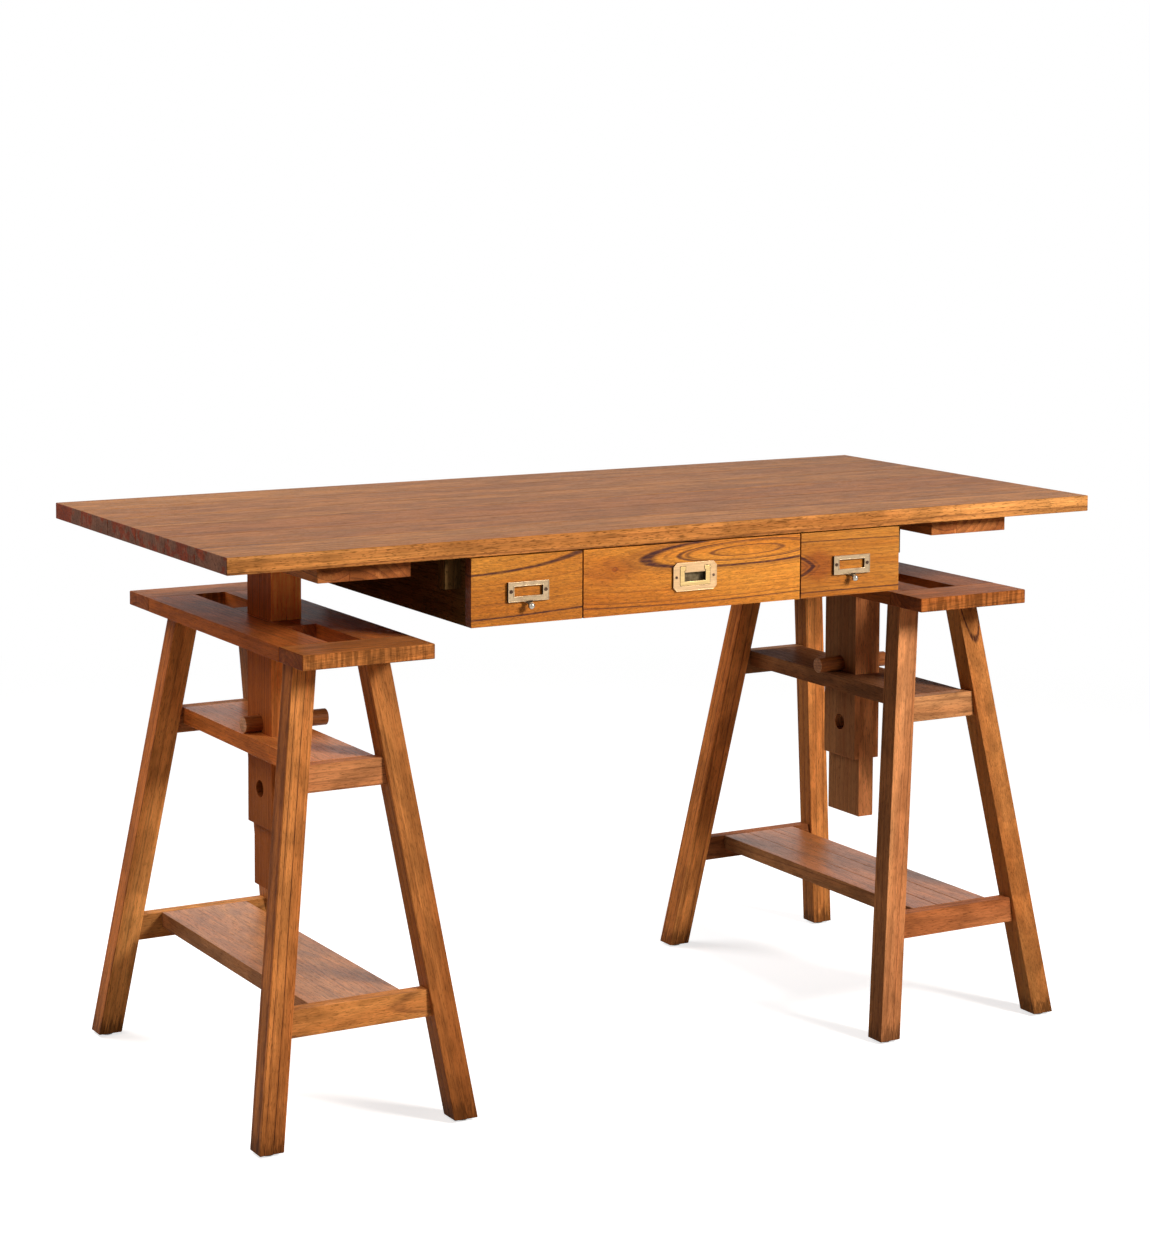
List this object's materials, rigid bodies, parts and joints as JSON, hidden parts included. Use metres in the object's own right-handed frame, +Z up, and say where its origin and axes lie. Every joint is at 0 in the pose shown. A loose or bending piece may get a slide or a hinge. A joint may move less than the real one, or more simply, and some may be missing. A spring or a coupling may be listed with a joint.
{
  "type": "height-adjustable trestle desk",
  "caption": "Wooden trestle desk: a flat top with flush drawers under it stands on posts that slide in splayed trestles and rest on loose pegs.",
  "frame": {"origin": "on the floor under the middle of the tabletop", "axes": "+X along the desk to the sitter's right, +Y from the drawers to the back, +Z up"},
  "size_m": [1.5, 0.6974, 0.85],
  "materials": {
    "top_wood": "oiled, mid brown",
    "front_wood": "oiled, golden brown",
    "leg_wood": "oiled, amber brown",
    "cap_wood": "oiled, reddish brown",
    "case_wood": "oiled, dark",
    "drawer_wood": "bare",
    "peg_wood": "oiled, orange brown",
    "antique_brass": "worn, antique",
    "pale_brass": "brushed, pale",
    "screw_steel": "plain",
    "glide_plastic": "translucent white"
  },
  "bodies": {
    "left_trestle": {"left_cap_stiles": "cap_wood", "left_cap_ends": "cap_wood", "left_cap_fillers": "cap_wood", "left_front_outer_leg": "leg_wood", "left_front_inner_leg": "leg_wood", "left_back_outer_leg": "leg_wood", "left_back_inner_leg": "leg_wood", "left_mid_shelf": "cap_wood", "left_mid_rails": "leg_wood", "left_low_shelf": "cap_wood", "left_low_rails": "leg_wood", "left_glides": "glide_plastic"},
    "top": {"tabletop": "top_wood", "left_batten": "case_wood", "right_batten": "case_wood", "top_screws": "screw_steel", "left_post_core": "leg_wood", "left_post_cheeks": "leg_wood", "right_post_core": "leg_wood", "right_post_cheeks": "leg_wood", "case_sides": "case_wood", "case_dividers": "case_wood", "case_back": "case_wood", "case_bottom": "case_wood", "hanger_blocks": "case_wood"},
    "right_trestle": {"right_cap_stiles": "cap_wood", "right_cap_ends": "cap_wood", "right_cap_fillers": "cap_wood", "right_front_outer_leg": "leg_wood", "right_front_inner_leg": "leg_wood", "right_back_outer_leg": "leg_wood", "right_back_inner_leg": "leg_wood", "right_mid_shelf": "cap_wood", "right_mid_rails": "leg_wood", "right_low_shelf": "cap_wood", "right_low_rails": "leg_wood", "right_glides": "glide_plastic"},
    "left_peg": {"left_peg": "peg_wood"},
    "right_peg": {"right_peg": "peg_wood"},
    "left_drawer": {"left_drawer_front": "front_wood", "left_drawer_sides": "drawer_wood", "left_drawer_back": "drawer_wood", "left_drawer_bottom": "drawer_wood", "left_label_holder": "antique_brass", "left_knob": "antique_brass", "left_holder_screws": "antique_brass"},
    "middle_drawer": {"middle_drawer_front": "front_wood", "middle_drawer_sides": "drawer_wood", "middle_drawer_back": "drawer_wood", "middle_drawer_bottom": "drawer_wood", "middle_pull_plate": "pale_brass", "middle_pull_screws": "pale_brass"},
    "bail": {"middle_pull_bail": "pale_brass"},
    "right_drawer": {"right_drawer_front": "front_wood", "right_drawer_sides": "drawer_wood", "right_drawer_back": "drawer_wood", "right_drawer_bottom": "drawer_wood", "right_label_holder": "antique_brass", "right_knob": "antique_brass", "right_holder_screws": "antique_brass"}
  },
  "joints": [
    {"name": "top_lift", "type": "slide", "parent": "left_trestle", "child": "top", "axis": [0, 0, 1], "range_m": [0, 0.1]},
    {"name": "right_trestle_slide", "type": "slide", "parent": "top", "child": "right_trestle", "axis": [0, 0, -1], "range_m": [0, 0.1]},
    {"name": "left_peg_slide", "type": "slide", "parent": "top", "child": "left_peg", "axis": [1, 0, 0], "range_m": [-0.11, 0.08]},
    {"name": "right_peg_slide", "type": "slide", "parent": "top", "child": "right_peg", "axis": [1, 0, 0], "range_m": [-0.09, 0.1]},
    {"name": "left_drawer_slide", "type": "slide", "parent": "top", "child": "left_drawer", "axis": [0, -1, 0], "range_m": [0, 0.32]},
    {"name": "middle_drawer_slide", "type": "slide", "parent": "top", "child": "middle_drawer", "axis": [0, -1, 0], "range_m": [0, 0.32]},
    {"name": "right_drawer_slide", "type": "slide", "parent": "top", "child": "right_drawer", "axis": [0, -1, 0], "range_m": [0, 0.32]},
    {"name": "pull_bail", "type": "hinge", "parent": "middle_drawer", "child": "bail", "pos_m": [0, -0.3418, 0.78445], "axis": [-1, 0, 0], "range_deg": [0, 90]}
  ],
  "couplings": [
    {"joint": "right_trestle_slide", "follows": "top_lift", "ratio": 1}
  ]
}
